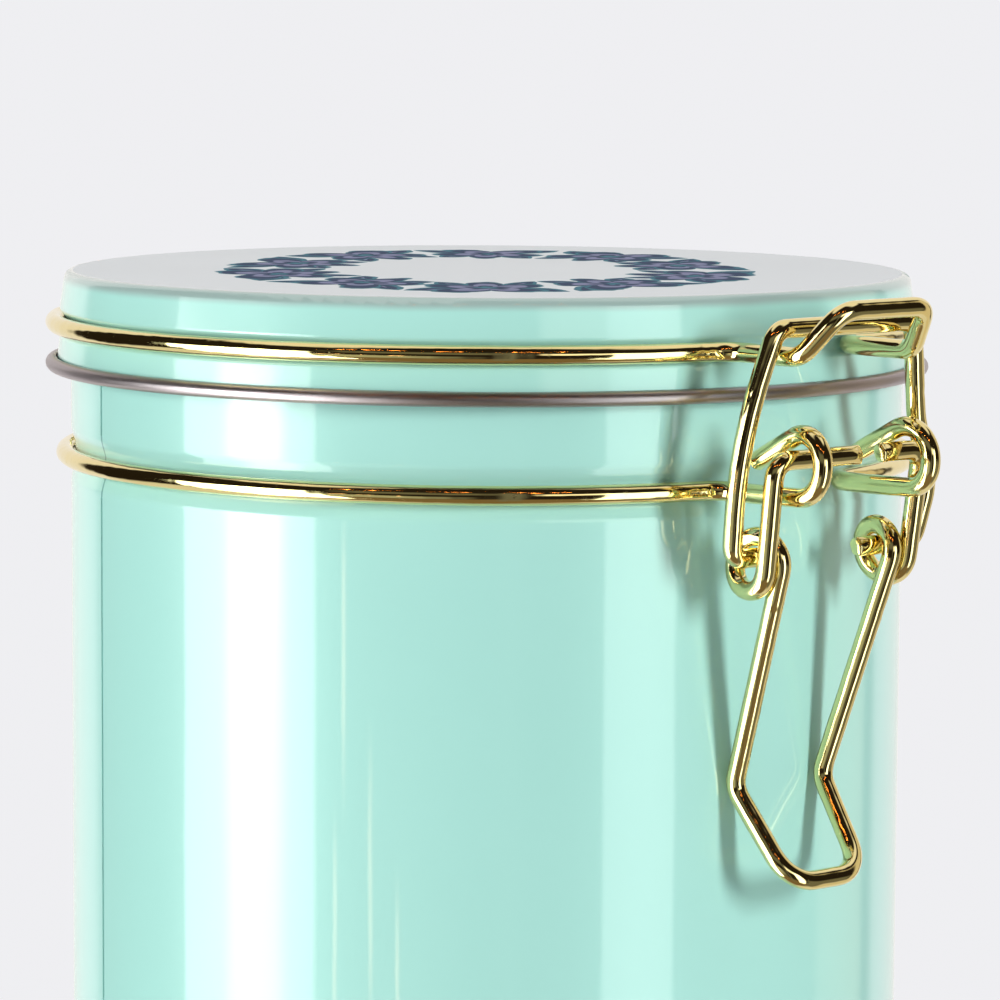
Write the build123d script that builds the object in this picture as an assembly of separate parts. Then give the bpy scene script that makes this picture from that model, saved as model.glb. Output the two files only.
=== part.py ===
from build123d import *

import math
import os

# A round tinplate canister with a wire-clip lid. The origin is the centre of the bottom,
# +Z is up, the latch is at the front (-Y) and the lid's hinge is at the back (+Y).

# Driving dimensions, in millimetres
HEIGHT = 155.0  # floor to the lid's top face
BODY_R = 49.5  # outside of the plain body wall
SHEET = 0.3  # tinplate
WIRE = 2.2  # every bent wire
GAP = 0.05  # between a wire and the groove it lies in

# Levels, measured up from the lid's top face, so they are negative
LID_RING_Z = -6.1
CURL_Z = -10.9
HINGE_Z = -13.0
BODY_RING_Z = -21.55

# Lid sheet: mid-surface radii, and the rolled lower edge
LID_TOP_R = 50.0
LID_WALL_R = 50.65
LID_GROOVE_R = 50.05
CURL_R = 51.6
CURL_TUBE = 0.7
CURL_TURN = 295  # degrees

# Body sheet: mid-surface radii, and the rolled rim under the lid
WALL_R = BODY_R - SHEET / 2
NECK_R = 48.75
BEAD_R = 48.85
RIM_Z = -1.75
RIM_TUBE = 0.6
RIM_TURN = 250  # degrees

# Double seam at the bottom: five layers of sheet, side by side
LAYER = SHEET + 0.02
SEAM_HEIGHT = 2.8
PANEL_Z = 3.3
PANEL_R = 42.0

# Side seam of the body wall
SEAM_ANGLE = 165.7  # degrees from +X, round the back on the left
SEAM_LAP = 4.0
SEAM_LINE = 0.45
SEAM_DEPTH = 0.1

# Sealing ring in the lid
GASKET_OUT_R = 49.4
GASKET_IN_R = 45.8
GASKET_THICK = 1.4

# Wire rings: centreline radii, and the bend where a ring turns outwards
LID_RING_R = LID_GROOVE_R + SHEET / 2 + GAP + WIRE / 2
BODY_RING_R = BEAD_R + SHEET / 2 + GAP + WIRE / 2
RING_BEND = 3.2

# Latch and hinge: distances to the side, out from the tin's axis, and levels as above
CATCH_SIDE = 8.65
LEVER_PIVOT = (60.75, -17.35)
EYELET_SIDE = 8.6
ARM_SIDE = 11.35
COIL_BEND = 2.9
BAIL_PIVOT = (56.2, -28.35)
BAIL_TOP = (59.9, -3.05)
PIN_ENDS = (4.8, -1.2)  # right and left lever pins; the left one passes the middle
BAIL_PIN_END = 5.9
HINGE_OUT = 58.0
HINGE_SIDE = 14.3
HINGE_PIN_END = 7.2
EYE_HALF = 2.35  # from the hinge axis to the centreline of the eye's wire
RISER_SIDE = 11.6


def front(side, out, z):
    """A point on the latch: to the right, out from the axis, up from the lid's top."""
    return Vector(side, -out, HEIGHT + z)


def back(side, out, z):
    """A point on the hinge, as front() but behind the tin."""
    return Vector(side, out, HEIGHT + z)


def rod(path):
    """A round wire along a smooth path."""
    section = Plane(origin=path @ 0, z_dir=path % 0) * Circle(WIRE / 2)
    return sweep(section, path=path)


def both_sides(right, left=None):
    """A wire made of its right half and its left half, which is given as its mirror image."""
    return right + mirror(left or right, about=Plane.YZ)


def ring_corner(radius, side, end):
    """The bend where a ring's wire turns outwards: its ends on the ring and on the leg."""
    reach = radius + RING_BEND
    x = side + RING_BEND
    y = end * math.sqrt(reach**2 - x**2)
    return Vector(x, y) * (radius / reach), Vector(side, y)


def half_ring(radius, z, front_run, front_bends, back_run, back_bends):
    """The right half of a wire ring, from its bent front end to its bent back end."""
    level = Vector(0, 0, HEIGHT + z)
    ring_1, leg_1 = (p + level for p in ring_corner(radius, front_run[-1].X, -1))
    ring_2, leg_2 = (p + level for p in ring_corner(radius, back_run[0].X, 1))
    side = Vector(radius, 0) + level
    path = Wire(
        [
            *FilletPolyline(*front_run, leg_1, radius=front_bends).edges(),
            TangentArc(leg_1, ring_1, tangent=(0, 1, 0)),
            ThreePointArc(ring_1, side, ring_2),
            TangentArc(leg_2, ring_2, tangent=(0, -1, 0)),
            *FilletPolyline(leg_2, *back_run, radius=back_bends).edges(),
        ]
    )
    return rod(path)


def sheet_ring(points, bends, curl=None):
    """Sheet metal turned about Z from its mid-surface, given as radius and height pairs."""
    edges = [*FilletPolyline(*[Vector(*p) for p in points], radius=bends).edges()]
    if curl:
        edges.append(curl)
    section = trace(edges, SHEET)
    return revolve(Plane.XZ * section, Axis.Z)


def rolled_edge(start, tube, turn, outwards):
    """The arc of a rolled edge that goes on from a vertical wall at start."""
    centre = Vector(*start) + Vector(outwards * tube, 0)
    first = 180 if outwards > 0 else 0
    return CenterArc(centre, tube, first, turn)


def make_body_wall():
    """The wall: rim curl, neck under the lid, bead for the ring, hook of the bottom seam."""
    rim = HEIGHT + RIM_Z - RIM_TUBE - SHEET / 2
    bead = HEIGHT + BODY_RING_Z
    hook_r = WALL_R + 2 * LAYER
    hook_z = SHEET / 2 + LAYER
    wall = sheet_ring(
        [
            (hook_r, hook_z + 1.6),
            (hook_r, hook_z),
            (WALL_R, hook_z),
            (WALL_R, bead - 3.0),
            (BEAD_R, bead - 1.2),
            (BEAD_R, bead + 1.2),
            (WALL_R, bead + 3.0),
            (WALL_R, HEIGHT - 11.0),
            (NECK_R, HEIGHT - 9.4),
            (NECK_R, rim),
        ],
        [0.2, 0.2, 1.8, 1.0, 1.0, 1.8, 0.8, 0.8],
        rolled_edge((NECK_R, rim), RIM_TUBE, RIM_TURN, -1),
    )
    return wall - side_seam_line() + side_seam_lap()


def wall_strip(inner, outer, low, high, width):
    """An upright strip of a round wall, centred on the side seam."""
    strip = Rectangle(outer - inner, high - low, align=(Align.MIN, Align.MIN))
    angle = math.degrees(width / outer)
    strip = Plane.XZ * Pos(inner, low) * strip
    return Rot(0, 0, SEAM_ANGLE - angle / 2) * revolve(strip, Axis.Z, angle)


def side_seam_line():
    """The fine step that the side seam leaves on the outside, above and below the bead."""
    bead = HEIGHT + BODY_RING_Z
    outer = BODY_R + SHEET
    inner = BODY_R - SEAM_DEPTH
    below = wall_strip(inner, outer, SEAM_HEIGHT + 1, bead - 3.6, SEAM_LINE)
    above = wall_strip(inner, outer, bead + 3.6, HEIGHT - 11.6, SEAM_LINE)
    return below + above


def side_seam_lap():
    """The second layer of sheet inside the wall, along the side seam."""
    bead = HEIGHT + BODY_RING_Z
    return wall_strip(BODY_R - 2 * SHEET, BODY_R - SHEET, SEAM_HEIGHT + 2, bead - 4, SEAM_LAP)


def make_bottom_end():
    """The bottom: raised panel, chuck wall inside the body and the rest of the double seam."""
    chuck = WALL_R - LAYER
    outer = WALL_R + 3 * LAYER
    hook = WALL_R + LAYER
    return sheet_ring(
        [
            (0, PANEL_Z - SHEET / 2),
            (PANEL_R - 1.0, PANEL_Z - SHEET / 2),
            (PANEL_R, PANEL_Z - 1.2),
            (chuck, PANEL_Z - 1.2),
            (chuck, SHEET / 2),
            (outer, SHEET / 2),
            (outer, SEAM_HEIGHT),
            (hook, SEAM_HEIGHT),
            (hook, SHEET / 2 + 2 * LAYER),
        ],
        [0.6, 0.6, 0.5, 0.2, 0.2, 0.2, 0.1],
    )


def make_lid_shell():
    """The drawn lid: flat top, flared wall, groove for the ring, outward curl at the edge."""
    groove = HEIGHT + LID_RING_Z
    curl = (CURL_R - CURL_TUBE, HEIGHT + CURL_Z)
    return sheet_ring(
        [
            (0, HEIGHT - SHEET / 2),
            (LID_TOP_R, HEIGHT - SHEET / 2),
            (LID_WALL_R, groove + 1.6),
            (LID_GROOVE_R, groove + 0.7),
            (LID_GROOVE_R, groove - 0.7),
            (LID_WALL_R, groove - 1.6),
            (curl[0], curl[1] + 0.8),
            curl,
        ],
        [0.9, 0.5, 0.6, 0.6, 0.5, 0.8],
        rolled_edge(curl, CURL_TUBE, CURL_TURN, 1),
    )


def make_lid_gasket():
    """The flat sealing ring that the lid presses on the rim."""
    width = GASKET_OUT_R - GASKET_IN_R
    section = RectangleRounded(width, GASKET_THICK, 0.4, align=(Align.MIN, Align.MAX))
    top = HEIGHT - SHEET - 0.02
    return revolve(Plane.XZ * Pos(GASKET_IN_R, top) * section, Axis.Z)


def make_lid_ring():
    """The lid's wire: raised catch at the front, two hinge pins at the back."""
    half = half_ring(
        LID_RING_R,
        LID_RING_Z,
        [front(0, 65.8, -0.9), front(6.5, 65.8, -0.9), front(CATCH_SIDE, 61.7, LID_RING_Z)],
        [2.6, 2.8],
        [
            back(HINGE_SIDE, HINGE_OUT, LID_RING_Z),
            back(HINGE_SIDE, HINGE_OUT, HINGE_Z),
            back(HINGE_PIN_END, HINGE_OUT, HINGE_Z),
        ],
        [2.0, 2.0],
    )
    return both_sides(half)


def make_body_ring():
    """The body's wire: an open eyelet at each front end, two hinge eyes and their bridge."""
    near, far = HINGE_OUT - EYE_HALF, HINGE_OUT + EYE_HALF
    high, low = HINGE_Z + EYE_HALF, HINGE_Z - EYE_HALF
    half = half_ring(
        BODY_RING_R,
        BODY_RING_Z,
        [
            front(7.85, 54.05, -18.1),
            front(8.1, 65.05, -12.38),
            front(EYELET_SIDE, 65.05, BODY_RING_Z + 0.25),
            front(EYELET_SIDE, 55.0, BODY_RING_Z),
        ],
        [3.3, 3.3, 6.0],
        [
            back(RISER_SIDE, far, BODY_RING_Z),
            back(RISER_SIDE - 0.2, far, high),
            back(RISER_SIDE - 1.0, near, high),
            back(RISER_SIDE - 1.8, near, low),
            back(RISER_SIDE - 2.6, far, low),
            back(0, far, low),
        ],
        [2.2, 2.3, 2.3, 2.3, 1.8],
    )
    return both_sides(half)


def lever_half(pin_end):
    """Half of the lever: tip, handle, coil for the bail, arm and pivot pin."""
    path = FilletPolyline(
        front(0, 58.0, -64.9),
        front(5.6, 58.0, -64.9),
        front(6.83, 50.2, -54.9),
        front(8.8, 60.25, -26.05),
        front(9.5, 53.25, -26.05),
        front(10.4, 53.25, -31.95),
        front(11.0, 58.8, -31.95),
        front(ARM_SIDE, *LEVER_PIVOT),
        front(pin_end, *LEVER_PIVOT),
        radius=[4.0, 2.5, COIL_BEND, COIL_BEND, COIL_BEND, COIL_BEND, 1.8],
    )
    return rod(path.wire())


def make_lever():
    """The latch lever, with the left pin longer than the right."""
    right, left = (lever_half(end) for end in PIN_ENDS)
    return both_sides(right, left)


def bail_half(knees, foot_side, knee_bends):
    """Half of the bail: crossbar, a leg that bends at its knees, and the bottom pin."""
    path = FilletPolyline(
        front(0, *BAIL_TOP),
        front(10.6, *BAIL_TOP),
        *[front(*knee) for knee in knees],
        front(foot_side, *BAIL_PIVOT),
        front(BAIL_PIN_END, *BAIL_PIVOT),
        radius=[1.8, *knee_bends, 1.6],
    )
    return rod(path.wire())


def make_bail():
    """The loop that pulls the catch down; its right leg is bent further out than its left."""
    right = bail_half([(13.0, 58.3, -14.0), (16.3, 57.2, -21.5)], 14.9, [12.0, 8.0])
    left = bail_half([(14.1, 57.9, -15.1)], 13.4, [50.0])
    return both_sides(right, left)


PARTS = {
    "body_wall": make_body_wall,
    "bottom_end": make_bottom_end,
    "body_ring": make_body_ring,
    "lid_shell": make_lid_shell,
    "lid_gasket": make_lid_gasket,
    "lid_ring": make_lid_ring,
    "latch_lever": make_lever,
    "latch_bail": make_bail,
}

os.makedirs("parts", exist_ok=True)
for name, make in PARTS.items():
    export_step(make(), f"parts/{name}.step")
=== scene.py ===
"""Looks for the wire-clip canister tin: materials, lid print, bent wires, studio and camera."""

import math

import bpy
import numpy as np
from mathutils import Matrix, Vector


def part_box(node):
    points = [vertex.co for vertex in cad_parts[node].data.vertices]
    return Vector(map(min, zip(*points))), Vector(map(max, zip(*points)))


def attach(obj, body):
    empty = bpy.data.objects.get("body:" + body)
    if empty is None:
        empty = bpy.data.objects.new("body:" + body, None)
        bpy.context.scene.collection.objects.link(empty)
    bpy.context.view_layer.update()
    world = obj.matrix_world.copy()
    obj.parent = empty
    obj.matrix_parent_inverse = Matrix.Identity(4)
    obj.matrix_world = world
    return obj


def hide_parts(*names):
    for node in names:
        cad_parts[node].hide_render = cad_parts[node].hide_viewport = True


MM = 0.001

# The camera, for a viewer who faces the tin with the latch turned to the right
CAMERA_AZIMUTH = -41.0  # degrees; 0 faces the latch
CAMERA_DISTANCE = 561.39 * MM
CAMERA_ABOVE_LID = 35.45 * MM
CAMERA_PITCH = 0.1119  # radians down
CAMERA_YAW = 0.0029
CAMERA_ROLL = 0.0056
CAMERA_LENS = 169.86  # for a 36 mm sensor

BACKDROP = (0.862, 0.862, 0.885)

# The wires, in millimetres as part.py bends them: to the right of the latch's middle,
# out from the tin's axis, up from the lid's top, each with its bend radii
WIRE_RADIUS = 1.1
RING_BEND = 3.2
LID_RING = (51.35, -6.1)
LID_RING_FRONT = ([(0, 65.8, -0.9), (6.5, 65.8, -0.9), (8.65, 61.7, -6.1)], [2.6, 2.8])
LID_RING_BACK = ([(14.3, 58, -6.1), (14.3, 58, -13), (7.2, 58, -13)], [2.0, 2.0])
BODY_RING = (50.15, -21.55)
BODY_RING_FRONT = (
    [(7.85, 54.05, -18.1), (8.1, 65.05, -12.38), (8.6, 65.05, -21.3), (8.6, 55.0, -21.55)],
    [3.3, 3.3, 6.0],
)
BODY_RING_BACK = (
    [
        (11.6, 60.35, -21.55),
        (11.4, 60.35, -10.65),
        (10.6, 55.65, -10.65),
        (9.8, 55.65, -15.35),
        (9.0, 60.35, -15.35),
        (0, 60.35, -15.35),
    ],
    [2.2, 2.3, 2.3, 2.3, 1.8],
)
LEVER = (
    [
        (0, 58.0, -64.9),
        (5.6, 58.0, -64.9),
        (6.83, 50.2, -54.9),
        (8.8, 60.25, -26.05),
        (9.5, 53.25, -26.05),
        (10.4, 53.25, -31.95),
        (11.0, 58.8, -31.95),
        (11.35, 60.75, -17.35),
    ],
    [4.0, 2.5, 2.9, 2.9, 2.9, 2.9, 1.8],
)
LEVER_PINS = (4.8, -1.2)
BAIL_TOP = [(0, 59.9, -3.05), (10.6, 59.9, -3.05)]
BAIL_RIGHT = ([(13.0, 58.3, -14.0), (16.3, 57.2, -21.5), (14.9, 56.2, -28.35)], [12.0, 8.0])
BAIL_LEFT = ([(14.1, 57.9, -15.1), (13.4, 56.2, -28.35)], [50.0])
BAIL_PIN = (5.9, 56.2, -28.35)
BAIL_TOP_BEND = 1.8
BAIL_PIN_BEND = 1.6

# The lid's rolled edge, measured up from its lowest point, and the radii where it begins
CURL_HEIGHT = 1.75 * MM
CURL_MIDDLE = 0.9 * MM
CURL_STARTS_HIGH = 51.06 * MM
CURL_STARTS_LOW = 50.7 * MM

# The body's side seam, in degrees from +X as part.py cuts it, and the half width of the painted shade
# line along it
SEAM_ANGLE = 165.7
SEAM_HALF = 0.2

# The wires' meshes, in millimetres
WIRE_STEP = 0.22  # between two rows of vertices
WIRE_SIDES = 28
SMOOTHING = 6  # passes that ease the joins of arcs and straight runs
RADIUS_WAVES = ((0.006, 0.9, 0.0), (0.004, 2.3, 1.0))  # share of the radius, rate, phase
PINCH_DEPTH = 0.24  # where the cutters squeezed each end
PINCH_REACH = 0.9
CAP_ROWS = ((0.93, 0.10), (0.80, 0.18), (0.45, 0.24))  # share of the radius, reach past the end

# Marks of the bending pliers: a point on the wire and the way the mark faces
DENT_DEPTH = 0.04
DENT_WIDTH = 0.5
FORWARD = (-0.656, -0.755, 0.0)
LID_DENTS = [((side, -50.6, -6.1), (side / 12, -1, 0.3)) for side in (-12.6, 12.4)]
BODY_DENTS = [((side, -50.2, -21.5), (side / 12, -1, 0.2)) for side in (-12.5, 12.2)]
BAIL_DENTS = [
    ((-12.9, -58.7, -10.4), FORWARD),
    ((-13.5, -56.7, -24.6), FORWARD),
    ((12.5, -58.6, -11.2), (0.7, -0.7, 0)),
]
LEVER_DENTS = [((-8.2, -57.5, -34.0), FORWARD), ((8.0, -57.0, -35.5), (0.5, -0.8, 0))]


# ---------------------------------------------------------------- node helpers


class Nodes:
    """A node tree with short calls for the nodes this scene uses."""

    def __init__(self, tree):
        self.tree = tree
        tree.nodes.clear()

    def new(self, kind, **values):
        node = self.tree.nodes.new(kind)
        for name, value in values.items():
            setattr(node, name, value)
        return node

    def feed(self, socket, value):
        if isinstance(value, bpy.types.NodeSocket):
            self.tree.links.new(value, socket)
        else:
            socket.default_value = value

    def math(self, operation, *values, clamp=False):
        node = self.new("ShaderNodeMath", operation=operation, use_clamp=clamp)
        for socket, value in zip(node.inputs, values):
            self.feed(socket, value)
        return node.outputs[0]

    def add(self, a, b):
        return self.math("ADD", a, b)

    def times(self, a, b):
        return self.math("MULTIPLY", a, b)

    def smooth(self, value, low, high):
        """0 at low, 1 at high and a smooth change between; low may be above high."""
        node = self.new("ShaderNodeMapRange", interpolation_type="SMOOTHSTEP")
        falls = low > high
        self.feed(node.inputs["Value"], value)
        node.inputs["From Min"].default_value = high if falls else low
        node.inputs["From Max"].default_value = low if falls else high
        node.inputs["To Min"].default_value = 1.0 if falls else 0.0
        node.inputs["To Max"].default_value = 0.0 if falls else 1.0
        return node.outputs["Result"]

    def band(self, value, low, high, soft):
        """1 between low and high, with edges soft wide."""
        rise = self.smooth(value, low - soft / 2, low + soft / 2)
        fall = self.smooth(value, high + soft / 2, high - soft / 2)
        return self.times(rise, fall)

    def mix(self, factor, a, b):
        node = self.new("ShaderNodeMix", data_type="RGBA")
        for socket, value in ((node.inputs[0], factor), (node.inputs[6], a), (node.inputs[7], b)):
            self.feed(socket, (*value, 1.0) if isinstance(value, tuple) else value)
        return node.outputs[2]

    def noise(self, vector, scale, detail=2.0):
        node = self.new("ShaderNodeTexNoise")
        node.inputs["Scale"].default_value = scale
        node.inputs["Detail"].default_value = detail
        self.feed(node.inputs["Vector"], vector)
        return node.outputs["Fac"]

    def split(self, vector):
        node = self.new("ShaderNodeSeparateXYZ")
        self.feed(node.inputs[0], vector)
        return node.outputs

    def join(self, x, y, z=0.0):
        node = self.new("ShaderNodeCombineXYZ")
        for socket, value in zip(node.inputs, (x, y, z)):
            self.feed(socket, value)
        return node.outputs[0]

    def length(self, x, y):
        return self.math("SQRT", self.add(self.times(x, x), self.times(y, y)))

    def bump(self, height, distance):
        node = self.new("ShaderNodeBump")
        node.inputs["Distance"].default_value = distance
        self.feed(node.inputs["Height"], height)
        return node.outputs[0]

    def place(self):
        return self.new("ShaderNodeTexCoord").outputs["Object"]


def new_material(name):
    material = bpy.data.materials.new(name)
    material.use_nodes = True
    return material, Nodes(material.node_tree)


def finish_material(n, base, **settings):
    shader = n.new("ShaderNodeBsdfPrincipled")
    n.feed(shader.inputs["Base Color"], base)
    for name, value in settings.items():
        n.feed(shader.inputs[name.replace("_", " ")], value)
    output = n.new("ShaderNodeOutputMaterial")
    n.feed(output.inputs["Surface"], shader.outputs[0])


# ---------------------------------------------------------------- materials


MINT = ((0.37, 0.70, 0.625), (0.40, 0.735, 0.66))
# painted shade: the colour of the shaded groove along the side seam
MINT_SEAM_SHADE = (0.07, 0.24, 0.24)
# painted shade: the greyer mint of the lid's upper corner
MINT_CORNER_SHADE = (0.31, 0.42, 0.395)


def sheet_waves(n, place):
    """Bump of enamelled sheet: orange peel on shallow waves."""
    return n.bump(n.add(n.times(n.noise(place, 900.0), 0.03), n.noise(place, 45.0, 1.0)), 0.00005)


def lacquer(name):
    """Stove-enamelled mint tinplate: material, nodes, clouded base colour, shader settings."""
    material, n = new_material(name)
    place = n.place()
    base = n.mix(n.noise(place, 28.0, 3.0), *MINT)
    normal = sheet_waves(n, place)
    return material, n, base, dict(
        Roughness=0.3,
        Coat_Weight=1.0,
        Coat_Roughness=0.03,
        Normal=normal,
        Coat_Normal=normal,
    )


def mint_lacquer():
    """The body's mint, darkened by a line of painted shade along the step of the side seam."""
    material, n, base, finish = lacquer("mint_lacquer")
    x, y, _ = n.split(n.place())
    angle = n.times(n.math("ARCTAN2", y, x), 180 / math.pi)
    # painted shade along the seam's groove
    seam = n.band(angle, SEAM_ANGLE - SEAM_HALF, SEAM_ANGLE + SEAM_HALF, 0.12)
    base = n.mix(n.times(seam, 0.75), base, MINT_SEAM_SHADE)
    finish_material(n, base, **finish)
    return material


def lid_lacquer(lid_top):
    """The same mint, greyed by painted shade on the drawn corner below the white top."""
    material, n, base, finish = lacquer("lid_lacquer")
    place = n.place()
    height = n.add(n.split(place)[2], n.times(n.noise(place, 120.0), 0.0003))
    # painted shade, greying the mint towards the top corner
    corner = n.smooth(height, lid_top - 1.5 * MM, lid_top - 0.4 * MM)
    finish_material(n, n.mix(corner, base, MINT_CORNER_SHADE), **finish)
    return material


PRINT_FLOWERS = 10  # round the wreath, an even number
PRINT_RADIUS = 32.0 * MM
PRINT_SWAY = 1.0 * MM  # of the garland, in and out
PRINT_STRETCH = 0.79  # its width over its depth, as the fitted camera faces it
PRINT_LEAVES = (  # round each flower, in millimetres: centre, turn, half length, half width
    ((6.0, 4.8), 0.9, 5.4, 2.6),
    ((-6.2, 4.6), 2.3, 5.2, 2.5),
    ((5.8, -5.2), -0.7, 5.0, 2.4),
    ((-6.2, -4.0), 0.6, 4.4, 2.3),
)
TEAL = (0.03, 0.15, 0.20)
NAVY = (0.008, 0.030, 0.085)
LILAC = (0.20, 0.21, 0.34)


def flower(n, x, y, turn, size, petals):
    """Distance-like value of a rosette: below 1 inside its petals."""
    angle = n.add(n.math("ARCTAN2", y, x), turn)
    lobes = n.math("ABSOLUTE", n.math("COSINE", n.times(angle, petals / 2)))
    reach = n.math("MULTIPLY_ADD", lobes, 0.5 * size, 0.5 * size)
    return n.math("DIVIDE", n.length(x, y), reach)


def leaf(n, x, y, centre, turn, half_length, half_width):
    """Below 1 inside a pointed leaf, whose sizes are in millimetres."""
    c, s = math.cos(turn), math.sin(turn)
    dx, dy = n.add(x, -centre[0] * MM), n.add(y, -centre[1] * MM)
    along = n.add(n.times(dx, c), n.times(dy, s))
    across = n.add(n.times(dx, -s), n.times(dy, c))
    u = n.math("ABSOLUTE", n.times(along, 1 / (half_length * MM)))
    v = n.math("ABSOLUTE", n.times(across, 1 / (half_width * MM)))
    return n.add(n.times(u, u), v)


def lid_print(n, base, place):
    """A wreath of plain rosettes and leaves in navy, teal and lilac inks."""
    wobble = n.noise(place, 260.0, 2.0)
    x, y, _ = n.split(place)
    turn = math.radians(CAMERA_AZIMUTH)
    c, s = math.cos(turn), math.sin(turn)
    across = n.times(n.add(n.times(x, c), n.times(y, s)), 1 / PRINT_STRETCH)
    along = n.add(n.times(x, -s), n.times(y, c))
    radius = n.length(across, along)
    angle = n.math("MULTIPLY_ADD", n.math("ARCTAN2", along, across), PRINT_FLOWERS / math.tau, 0.5)
    cell = n.math("SUBTRACT", angle, n.math("ROUND", angle))
    odd = n.math("PINGPONG", n.math("ROUND", angle), 1.0)
    mirror = n.math("MULTIPLY_ADD", odd, -2.0, 1.0)
    u = n.times(n.times(cell, mirror), math.tau * PRINT_RADIUS / PRINT_FLOWERS)
    sway = n.math("COSINE", n.times(angle, math.pi))
    v = n.add(radius, n.math("MULTIPLY_ADD", sway, -PRINT_SWAY, PRINT_SWAY - PRINT_RADIUS))
    rosette = flower(n, u, n.add(v, -0.6 * MM), 0.4, 10.0 * MM, 5)
    green = leaf(n, u, v, *PRINT_LEAVES[0])
    for shape in PRINT_LEAVES[1:]:
        green = n.math("MINIMUM", green, leaf(n, u, v, *shape))
    shift = n.math("MULTIPLY_ADD", wobble, 0.5, -0.25)
    rosette, green = n.add(rosette, shift), n.add(green, shift)
    colour = n.mix(n.smooth(green, 1.08, 1.0), base, TEAL)
    colour = n.mix(n.smooth(green, 0.72, 0.62), colour, NAVY)
    colour = n.mix(n.smooth(green, 0.16, 0.08), colour, LILAC)
    colour = n.mix(n.smooth(rosette, 1.04, 0.98), colour, TEAL)
    colour = n.mix(n.smooth(rosette, 0.94, 0.88), colour, NAVY)
    colour = n.mix(n.band(rosette, 0.36, 0.62, 0.08), colour, LILAC)
    return n.mix(n.smooth(rosette, 0.2, 0.14), colour, TEAL)


def white_lacquer():
    """The lid's printed top, matt so that the inks stay dark at a low angle."""
    material, n = new_material("white_lacquer")
    place = n.place()
    base = n.mix(n.noise(place, 28.0, 3.0), (0.715, 0.735, 0.75), (0.76, 0.78, 0.795))
    finish_material(
        n,
        lid_print(n, base, place),
        Roughness=0.55,
        Specular_IOR_Level=0.04,
        Normal=sheet_waves(n, place),
    )
    return material


def gold_plating():
    """Brass-plated spring wire: drawing lines along it, faint tarnish, small rubbed spots."""
    material, n = new_material("gold_plating")
    along, round_it, _ = n.split(n.new("ShaderNodeUVMap", uv_map="wire").outputs[0])
    lines = n.noise(n.join(n.times(along, 120.0), n.times(round_it, 5000.0)), 1.0, 3.0)
    place = n.place()
    tarnish = n.noise(place, 160.0, 4.0)
    base = n.mix(tarnish, (0.82, 0.67, 0.30), (0.91, 0.78, 0.40))
    spots = n.smooth(n.noise(place, 900.0, 3.0), 0.62, 0.72)
    rough = n.math("MULTIPLY_ADD", spots, 0.12, n.math("MULTIPLY_ADD", lines, 0.06, 0.055))
    height = n.add(n.times(lines, 0.25), n.noise(place, 420.0, 1.0))
    finish_material(n, base, Metallic=1.0, Roughness=rough, Normal=n.bump(height, 0.000022))
    return material


def rolled_steel():
    """The bare rolled edge: matt, with the scuffs of rolling running round the tin."""
    material, n = new_material("rolled_steel")
    place = n.place()
    x, y, z = n.split(place)
    streak = n.noise(n.join(n.times(x, 90.0), n.times(y, 90.0), n.times(z, 6500.0)), 1.0, 4.0)
    stain = n.noise(place, 70.0, 3.0)
    base = n.mix(n.times(n.add(streak, stain), 0.5), (0.33, 0.28, 0.30), (0.56, 0.49, 0.51))
    rough = n.math("MULTIPLY_ADD", streak, 0.25, 0.26)
    height = n.add(streak, n.noise(place, 2500.0))
    finish_material(n, base, Metallic=1.0, Roughness=rough, Normal=n.bump(height, 0.00002))
    return material


def bare_tinplate():
    """Undecorated tinplate: bright grey with a fine crystalline grain."""
    material, n = new_material("bare_tinplate")
    place = n.place()
    base = n.mix(n.noise(place, 40.0, 4.0), (0.60, 0.585, 0.56), (0.74, 0.725, 0.70))
    grain = n.noise(place, 1800.0)
    rough = n.math("MULTIPLY_ADD", grain, 0.14, 0.26)
    finish_material(n, base, Metallic=1.0, Roughness=rough, Normal=n.bump(grain, 0.00001))
    return material


def silicone():
    """The seal: dull white rubber with dust."""
    material, n = new_material("silicone")
    dust = n.noise(n.place(), 300.0, 3.0)
    base = n.mix(dust, (0.72, 0.72, 0.69), (0.80, 0.80, 0.78))
    finish_material(
        n,
        base,
        Roughness=0.55,
        Subsurface_Weight=0.15,
        Subsurface_Radius=(0.002, 0.002, 0.002),
        Normal=n.bump(dust, 0.00003),
    )
    return material


def give_zones(obj, materials, zone_of):
    """Material slots for a CAD node; zone_of(centre, normal) picks each face's slot."""
    obj.data.materials.clear()
    for material in materials:
        obj.data.materials.append(material)
    for face in obj.data.polygons:
        face.material_index = zone_of(face.center, face.normal)


# ---------------------------------------------------------------- wires


def turned(axis, angle, vector):
    return Matrix.Rotation(angle, 3, axis) @ vector


def arc(centre, start, axis, angle, step=0.06):
    """Points of an arc from start, turning by angle about an axis through centre."""
    count = max(2, math.ceil(abs(angle) / step))
    return [centre + turned(axis, angle * i / count, start - centre) for i in range(count + 1)]


def bent(points, bends):
    """The points of a wire with a round bend at each inner corner."""
    path = [points[0]]
    for before, corner, after, radius in zip(points, points[1:], points[2:], bends):
        into, out = (corner - before).normalized(), (after - corner).normalized()
        turn = into.angle(out)
        start = corner - into * radius * math.tan(turn / 2)
        axis = into.cross(out).normalized()
        path += arc(start + axis.cross(into) * radius, start, axis, turn)
    return path + [points[-1]]


def placed(points, face):
    """Millimetre points as vectors; face is -1 for the latch side and 1 for the hinge side."""
    return [Vector((side, face * out, z)) for side, out, z in points]


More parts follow.
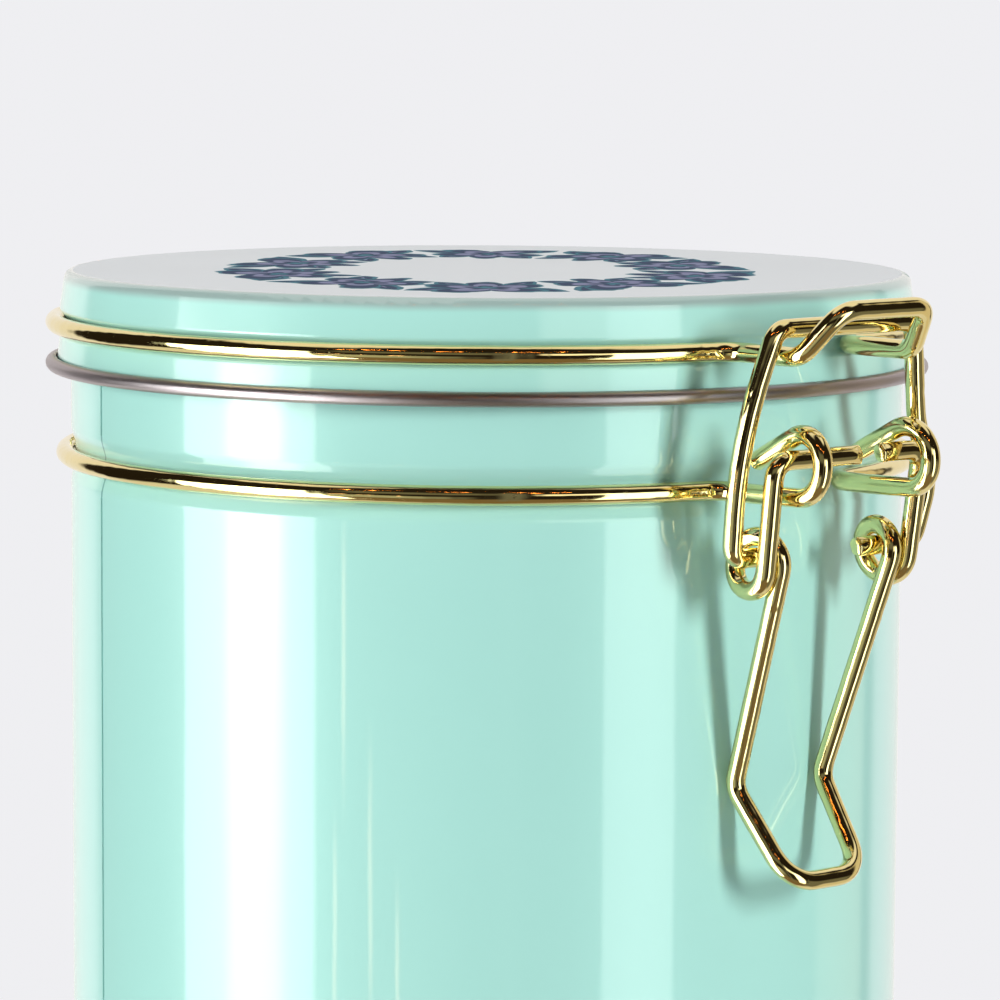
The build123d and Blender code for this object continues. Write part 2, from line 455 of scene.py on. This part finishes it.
def ring_half(ring, front, back):
    """Half of a ring's wire, from its front end to its back end."""
    radius, z = ring
    reach = radius + RING_BEND
    up = Vector((0, 0, 1))
    ends = []
    for (points, _), face, last in ((front, -1, -1), (back, 1, 0)):
        x = points[last][0] + RING_BEND
        bend = Vector((x, face * math.sqrt(reach**2 - x**2), z))
        leg = bend - Vector((RING_BEND, 0, 0))
        inward = Vector((bend.x, bend.y, 0)).normalized()
        ends.append((bend, leg, bend - inward * RING_BEND))
    (bend_1, leg_1, ring_1), (bend_2, leg_2, ring_2) = ends
    level = Vector((0, 0, z))
    span = math.atan2(ring_2.y, ring_2.x) - math.atan2(ring_1.y, ring_1.x)
    turn_1 = (leg_1 - bend_1).angle(ring_1 - bend_1)
    turn_2 = (leg_2 - bend_2).angle(ring_2 - bend_2)
    return [
        *bent([*placed(front[0], -1), leg_1], front[1]),
        *arc(bend_1, leg_1, up, -turn_1)[1:],
        *arc(level, ring_1, up, span, 0.004)[1:],
        *arc(bend_2, ring_2, up, -turn_2)[1:],
        *bent([leg_2, *placed(back[0], 1)], back[1])[1:],
    ]


def mirrored(path):
    return [Vector((-p.x, p.y, p.z)) for p in path]


def even_path(points, step):
    """The same line with points a step apart, and its sharpest changes of curvature eased."""
    points = np.array([tuple(p) for p in points])
    gaps = np.linalg.norm(np.diff(points, axis=0), axis=1)
    keep = np.concatenate([[True], gaps > 1e-6])
    points = points[keep]
    along = np.concatenate([[0], np.cumsum(np.linalg.norm(np.diff(points, axis=0), axis=1))])
    places = np.linspace(0, along[-1], round(along[-1] / step) + 1)
    path = np.column_stack([np.interp(places, along, points[:, i]) for i in range(3)])
    for _ in range(SMOOTHING):
        path[1:-1] = 0.25 * path[:-2] + 0.5 * path[1:-1] + 0.25 * path[2:]
    return path, places


def frames(path):
    """Two unit vectors across the wire at each point, carried along without twist."""
    tangents = np.gradient(path, axis=0)
    tangents /= np.linalg.norm(tangents, axis=1)[:, None]
    side = np.cross(tangents[0], [0.0, 0.0, 1.0])
    if np.linalg.norm(side) < 1e-3:
        side = np.cross(tangents[0], [0.0, 1.0, 0.0])
    sides = []
    for tangent in tangents:
        side = side - tangent * (side @ tangent)
        side = side / np.linalg.norm(side)
        sides.append(side)
    sides = np.array(sides)
    return sides, np.cross(tangents, sides), tangents


def make_wire(name, points, node, body, dents, lid_top):
    """A bent wire as one closed mesh: cut ends slightly pinched, small dents from the pliers.

    Each dent is a point on the wire and the way that it faces."""
    path, along = even_path(points, WIRE_STEP)
    sides, ups, tangents = frames(path)
    end = np.minimum(along, along[-1] - along)
    waves = sum(share * np.sin(along * rate + phase) for share, rate, phase in RADIUS_WAVES)
    radius = WIRE_RADIUS * (1 + waves)
    angles = np.arange(WIRE_SIDES) * math.tau / WIRE_SIDES
    rings = radius[:, None] * np.ones(WIRE_SIDES)
    normals = (
        np.cos(angles)[None, :, None] * sides[:, None, :]
        + np.sin(angles)[None, :, None] * ups[:, None, :]
    )
    for place, facing in dents:
        middle = along[np.argmin(np.linalg.norm(path - np.array(place), axis=1))]
        near = np.exp(-(((along - middle) / DENT_WIDTH) ** 2))
        rings -= DENT_DEPTH * near[:, None] * np.clip(normals @ np.array(facing), 0, 1) ** 3
    pinch = PINCH_DEPTH * np.exp(-((end / PINCH_REACH) ** 2))
    rings -= pinch[:, None] * (1 + np.cos(2 * angles + 1) + 0.4 * np.sin(5 * angles))[None, :] / 2
    shape = path[:, None, :] + rings[..., None] * normals
    caps = []
    for index, outward in ((0, -1), (-1, 1)):
        for share, reach in CAP_ROWS:
            offset = (shape[index] - path[index]) * share
            caps.append(path[index] + offset + tangents[index] * outward * reach)
    count = len(CAP_ROWS)
    rows = np.concatenate([caps[:count][::-1], shape, caps[count:]])
    spans = np.concatenate([[along[0]] * count, along, [along[-1]] * count])
    return wire_mesh(name, rows, spans, node, body, lid_top)


def wire_mesh(name, rows, spans, node, body, lid_top):
    """Skins rows of points into a closed tube that stands for a CAD wire."""
    count, around = rows.shape[:2]
    vertices = rows.reshape(-1, 3) * MM + np.array([0, 0, lid_top])
    faces, places = [], []
    for i in range(count - 1):
        for j in range(around):
            k = (j + 1) % around
            faces.append((i * around + j, i * around + k, (i + 1) * around + k, (i + 1) * around + j))
            places += [(i, j), (i, j + 1), (i + 1, j + 1), (i + 1, j)]
    faces.append(tuple(reversed(range(around))))
    places += [(0, j) for j in reversed(range(around))]
    faces.append(tuple(range((count - 1) * around, count * around)))
    places += [(count - 1, j) for j in range(around)]
    mesh = bpy.data.meshes.new(name)
    mesh.from_pydata([tuple(v) for v in vertices], [], faces)
    layer = mesh.uv_layers.new(name="wire")
    for corner, (i, j) in zip(layer.data, places):
        corner.uv = (spans[i] * MM, j * math.tau * WIRE_RADIUS * MM / around)
    mesh.shade_smooth()
    mesh.update()
    obj = bpy.data.objects.new(name, mesh)
    bpy.context.scene.collection.objects.link(obj)
    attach(obj, body)
    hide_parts(node)
    return obj


def make_wires(lid_top, material):
    lid = ring_half(LID_RING, LID_RING_FRONT, LID_RING_BACK)
    ring = ring_half(BODY_RING, BODY_RING_FRONT, BODY_RING_BACK)
    arms = []
    for pin in LEVER_PINS:
        points, bends = LEVER
        arms.append(bent(placed([*points, (pin, *points[-1][1:])], -1), bends))
    bail = [
        bent(placed([*BAIL_TOP, *points, BAIL_PIN], -1), [BAIL_TOP_BEND, *bends, BAIL_PIN_BEND])
        for points, bends in (BAIL_RIGHT, BAIL_LEFT)
    ]
    wires = [
        ("lid_wire", [*lid[::-1], *mirrored(lid)[1:]], "lid_ring", "lid", LID_DENTS),
        ("body_wire", [*ring, *mirrored(ring)[::-1][1:]], "body_ring", "tin_body", BODY_DENTS),
        ("lever_wire", [*arms[0][::-1], *mirrored(arms[1])[1:]], "latch_lever", "lever", LEVER_DENTS),
        ("bail_wire", [*bail[0][::-1], *mirrored(bail[1])[1:]], "latch_bail", "bail", BAIL_DENTS),
    ]
    for name, path, node, body, dents in wires:
        wire = make_wire(name, path, node, body, dents, lid_top)
        wire.data.materials.append(material)


# ---------------------------------------------------------------- studio


DARK_ROOM = (0.018, 0.013, 0.008)

# Bright patches of the room, later ones in front: lowest and highest azimuth, lowest and
# highest height, softness of the upright and the level edges in degrees, colour, strength
WINDOWS = (
    (-60, -12, -36, -12, 30, 8, (0.75, 0.78, 0.62), 0.6),
    (-40, 4, 10, 30, 14, 10, (0.80, 0.80, 0.62), 0.2),
    (58, 100, -60, -8, 14, 10, (0.80, 0.78, 0.60), 0.22),
    (4, 9, -60, 34, 5, 10, (0.90, 0.92, 0.80), 0.2),
    (-90, -46.8, -56, 8, 2, 3, (0.92, 1.0, 0.96), 4.4),
    (-74, -57, -50, -8, 7, 6, (1.0, 1.0, 0.98), 8.0),
    (-74, -57, -9, 6, 7, 6, (1.0, 1.0, 0.98), 11.0),
    (14, 34, 4, 18, 4, 6, (1.0, 0.95, 0.85), 1.5),
    (32, 52.5, -46, 16, 2, 6, (0.92, 1.0, 0.96), 2.9),
    (104, 128, -60, 40, 6, 6, (0.9, 0.8, 0.6), 0.8),
)

# Small warm lamps of the room: azimuth, then height or heights, in degrees from the camera
SPARKS = ((-43, 40), (-35, 43), (-28, 45), (-13, 42), (-9, 43), (9, 41), (14, 36), (22, 39))
STREAKS = ((-38.5, -9.6, -6.8), (-41, -13, -10.5), (-31, -12.5, -9.8), (-23.5, -15, -11.3))
SPARK_HALF = (0.9, 0.8)  # degrees across and up
SPARK_LIGHT = ((1.0, 0.30, 0.06), 22.0)
STREAK_HALF = 0.5
STREAK_LIGHT = ((1.0, 0.62, 0.38), 5.0)


def painted_studio(n, direction):
    """What shiny surfaces see, by direction: a dark room, pale sweep, lamps and windows."""
    turn = n.new("ShaderNodeVectorRotate", rotation_type="Z_AXIS")
    turn.inputs["Angle"].default_value = math.radians(-CAMERA_AZIMUTH)
    n.feed(turn.inputs["Vector"], direction)
    x, y, z = n.split(turn.outputs[0])
    azimuth = n.times(n.math("ARCTAN2", x, n.times(y, -1.0)), 180 / math.pi)
    height = n.times(n.math("ARCSINE", z), 180 / math.pi)
    side = n.math("ABSOLUTE", azimuth)
    behind = n.add(n.times(y, 1.33), n.times(z, 0.56))

    def patch(low, high, bottom, top, soft, soft_up):
        return n.times(n.band(azimuth, low, high, soft), n.band(height, bottom, top, soft_up))

    sweep_behind = n.smooth(side, 131, 139)
    sweep_curve = n.smooth(behind, 0.95, 1.05)
    ceiling_sides = n.times(n.smooth(height, 50, 56), n.smooth(side, 45, 75))
    table = n.smooth(height, -33, -43)
    table_sides = n.times(n.smooth(height, -26, -34), n.smooth(side, 55, 100))
    light = DARK_ROOM
    layers = [
        (sweep_behind, (0.90, 0.88, 0.87), 1.0),
        (ceiling_sides, (0.95, 0.91, 0.86), 1.0),
        (sweep_curve, (0.92, 0.89, 0.86), 1.0),
        (table, (0.21, 0.15, 0.08), 1.0),
        (table_sides, (0.80, 0.78, 0.72), 1.0),
    ]
    for low, high, bottom, top, soft, soft_up, colour, strength in WINDOWS:
        layers.append((patch(low, high, bottom, top, soft, soft_up), colour, strength))
    for place, low, high in STREAKS:
        streak = patch(place - STREAK_HALF, place + STREAK_HALF, low, high, 1, 1.5)
        layers.append((streak, *STREAK_LIGHT))
    across, up = SPARK_HALF
    for place, tilt in SPARKS:
        spark = patch(place - across, place + across, tilt - up, tilt + up, 1, 1)
        layers.append((spark, *SPARK_LIGHT))
    for mask, colour, strength in layers:
        light = n.mix(mask, light, tuple(c * strength for c in colour))
    return light


def make_world():
    """The painted studio for reflections, even soft light for the rest, a plain backdrop."""
    world = bpy.data.worlds.new("studio")
    world.use_nodes = True
    bpy.context.scene.world = world
    n = Nodes(world.node_tree)
    path = n.new("ShaderNodeLightPath")

    def background(colour, strength=1.0):
        node = n.new("ShaderNodeBackground")
        n.feed(node.inputs["Color"], (*colour, 1.0) if isinstance(colour, tuple) else colour)
        node.inputs["Strength"].default_value = strength
        return node.outputs[0]

    def choose(switch, a, b):
        node = n.new("ShaderNodeMixShader")
        for socket, value in zip(node.inputs, (switch, a, b)):
            n.feed(socket, value)
        return node.outputs[0]

    direction = n.new("ShaderNodeTexCoord").outputs["Generated"]
    unseen = choose(
        path.outputs["Is Glossy Ray"],
        background((1.0, 1.0, 1.0), 0.27),
        background(painted_studio(n, direction)),
    )
    output = n.new("ShaderNodeOutputWorld")
    n.feed(output.inputs["Surface"], choose(path.outputs["Is Camera Ray"], unseen, background(BACKDROP)))


def from_camera(azimuth, height, distance):
    """An offset by direction: azimuth to the right of the camera, height above the horizon."""
    a = math.radians(azimuth + CAMERA_AZIMUTH)
    e = math.radians(height)
    return Vector((math.sin(a) * math.cos(e), -math.cos(a) * math.cos(e), math.sin(e))) * distance


def area_light(name, azimuth, height, distance, size, power, target):
    data = bpy.data.lights.new(name, "AREA")
    data.shape = "RECTANGLE"
    data.size, data.size_y = size
    data.energy = power
    light = bpy.data.objects.new(name, data)
    bpy.context.scene.collection.objects.link(light)
    light.location = target + from_camera(azimuth, height, distance)
    light.rotation_euler = (target - light.location).to_track_quat("-Z", "Y").to_euler()
    light.visible_glossy = False
    light.visible_camera = False


# Soft lights: azimuth and height as from_camera takes them, distance, size, power in watts
LIGHTS = (
    ("window_right", 44, 14, 0.7, (0.09, 0.26), 3.3),
    ("softbox_left", -72, 8, 0.7, (0.35, 0.40), 4.3),
    ("softbox_top", 180, 78, 0.8, (0.7, 0.7), 2.9),
)


def make_lights(lid_top):
    target = Vector((0, 0, lid_top * 0.7))
    for light in LIGHTS:
        area_light(*light, target)


FLOOR_RADIUS = 60.0
FLOOR_FADE = (0.09, 0.32)  # from paper, near the tin, to the backdrop's tone
FLOOR_GLOW = 0.55  # of that tone on the tin; the camera sees it in full


def make_floor():
    """A pale floor that turns into the backdrop's own tone away from the tin."""
    bpy.ops.mesh.primitive_circle_add(vertices=96, radius=FLOOR_RADIUS, fill_type="NGON")
    floor = bpy.context.object
    floor.name = "floor"
    material, n = new_material("pale_floor")
    x, y, _ = n.split(n.place())
    paper = n.new("ShaderNodeBsdfDiffuse")
    paper.inputs["Color"].default_value = (0.8, 0.8, 0.82, 1.0)
    glow = n.new("ShaderNodeEmission")
    glow.inputs["Color"].default_value = (*BACKDROP, 1.0)
    seen = n.new("ShaderNodeLightPath").outputs["Is Camera Ray"]
    n.feed(glow.inputs["Strength"], n.math("MULTIPLY_ADD", seen, 1 - FLOOR_GLOW, FLOOR_GLOW))
    blend = n.new("ShaderNodeMixShader")
    n.feed(blend.inputs[0], n.smooth(n.length(x, y), *FLOOR_FADE))
    n.feed(blend.inputs[1], paper.outputs[0])
    n.feed(blend.inputs[2], glow.outputs[0])
    output = n.new("ShaderNodeOutputMaterial")
    n.feed(output.inputs["Surface"], blend.outputs[0])
    floor.data.materials.append(material)
    floor.visible_glossy = False


def make_camera(lid_top):
    """The camera stands in front, as fitted, and is then turned round the tin's axis."""
    forward = Vector((0, 1, 0))
    forward = Matrix.Rotation(-CAMERA_PITCH, 3, "X") @ forward
    forward = Matrix.Rotation(-CAMERA_YAW, 3, "Z") @ forward
    right = forward.cross(Vector((0, 0, 1))).normalized()
    up = right.cross(forward)
    c, s = math.cos(CAMERA_ROLL), math.sin(CAMERA_ROLL)
    right, up = right * c + up * s, up * c - right * s
    pose = Matrix((right, up, -forward)).transposed().to_4x4()
    pose.translation = Vector((0, -CAMERA_DISTANCE, lid_top + CAMERA_ABOVE_LID))
    data = bpy.data.cameras.new("camera")
    data.lens = CAMERA_LENS
    data.sensor_width = 36.0
    data.clip_start, data.clip_end = 0.01, 200.0
    camera = bpy.data.objects.new("camera", data)
    bpy.context.scene.collection.objects.link(camera)
    camera.matrix_world = Matrix.Rotation(math.radians(CAMERA_AZIMUTH), 4, "Z") @ pose
    bpy.context.scene.camera = camera


# ---------------------------------------------------------------- the scene


def faces_out(centre, normal):
    return centre.x * normal.x + centre.y * normal.y > 0


def lid_zones(lid_top):
    """Which of the lid's materials a face takes: mint, bare curl, white top, bare inside."""
    curl_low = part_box("lid_shell")[0].z

    def zone(centre, normal):
        radius = math.hypot(centre.x, centre.y)
        above_curl = centre.z - curl_low
        curl_starts = CURL_STARTS_HIGH if above_curl > CURL_MIDDLE else CURL_STARTS_LOW
        if above_curl < CURL_HEIGHT and radius > curl_starts:
            return 1
        if centre.z > lid_top - 0.02 * MM and normal.z > 0.999:
            return 2
        if centre.z > lid_top - 0.16 * MM and normal.z > 0:
            return 0
        return 0 if faces_out(centre, normal) else 3

    return zone


def dress_shells(nodes, lid_top):
    """Materials for the sheet-metal nodes and the seal."""
    tinplate = bare_tinplate()
    lid = [lid_lacquer(lid_top), rolled_steel(), white_lacquer(), tinplate]
    give_zones(nodes["lid_shell"], lid, lid_zones(lid_top))
    give_zones(nodes["body_wall"], [mint_lacquer(), tinplate], lambda c, m: 0 if faces_out(c, m) else 1)
    give_zones(nodes["bottom_end"], [tinplate], lambda c, m: 0)
    give_zones(nodes["lid_gasket"], [silicone()], lambda c, m: 0)


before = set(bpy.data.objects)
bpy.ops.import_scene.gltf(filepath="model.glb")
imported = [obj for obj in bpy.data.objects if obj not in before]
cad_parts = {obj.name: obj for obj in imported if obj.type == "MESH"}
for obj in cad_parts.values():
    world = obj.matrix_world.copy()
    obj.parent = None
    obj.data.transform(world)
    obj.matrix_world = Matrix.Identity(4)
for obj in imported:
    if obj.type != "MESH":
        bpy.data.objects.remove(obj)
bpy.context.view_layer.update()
bpy.context.scene.view_settings.view_transform = "Standard"
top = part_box("lid_shell")[1].z
dress_shells(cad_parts, top)
make_wires(top, gold_plating())
make_world()
make_lights(top)
make_floor()
make_camera(top)
